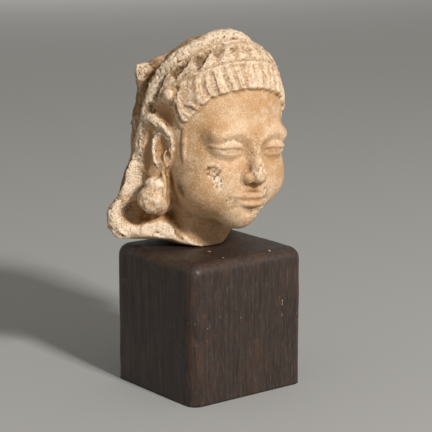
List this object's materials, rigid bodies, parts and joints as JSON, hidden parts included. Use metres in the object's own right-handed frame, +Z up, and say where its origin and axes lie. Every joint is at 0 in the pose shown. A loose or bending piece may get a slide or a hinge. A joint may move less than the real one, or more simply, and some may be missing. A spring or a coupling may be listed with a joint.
{
  "type": "terracotta head",
  "caption": "Fired-clay head of a veiled figure with combed fringe, carved diadem and round ear ornaments, standing on a dark wooden display block.",
  "frame": {"origin": "centre of the wooden block's underside", "axes": "+Z up through the block and head; the face looks along -Y; +X is the figure's left"},
  "size_m": [0.0964, 0.0728, 0.179],
  "materials": {
    "terracotta": "matte",
    "dark_wood": "satin"
  },
  "bodies": {
    "root": {"terracotta_head": "terracotta", "wooden_block": "dark_wood"}
  },
  "joints": []
}
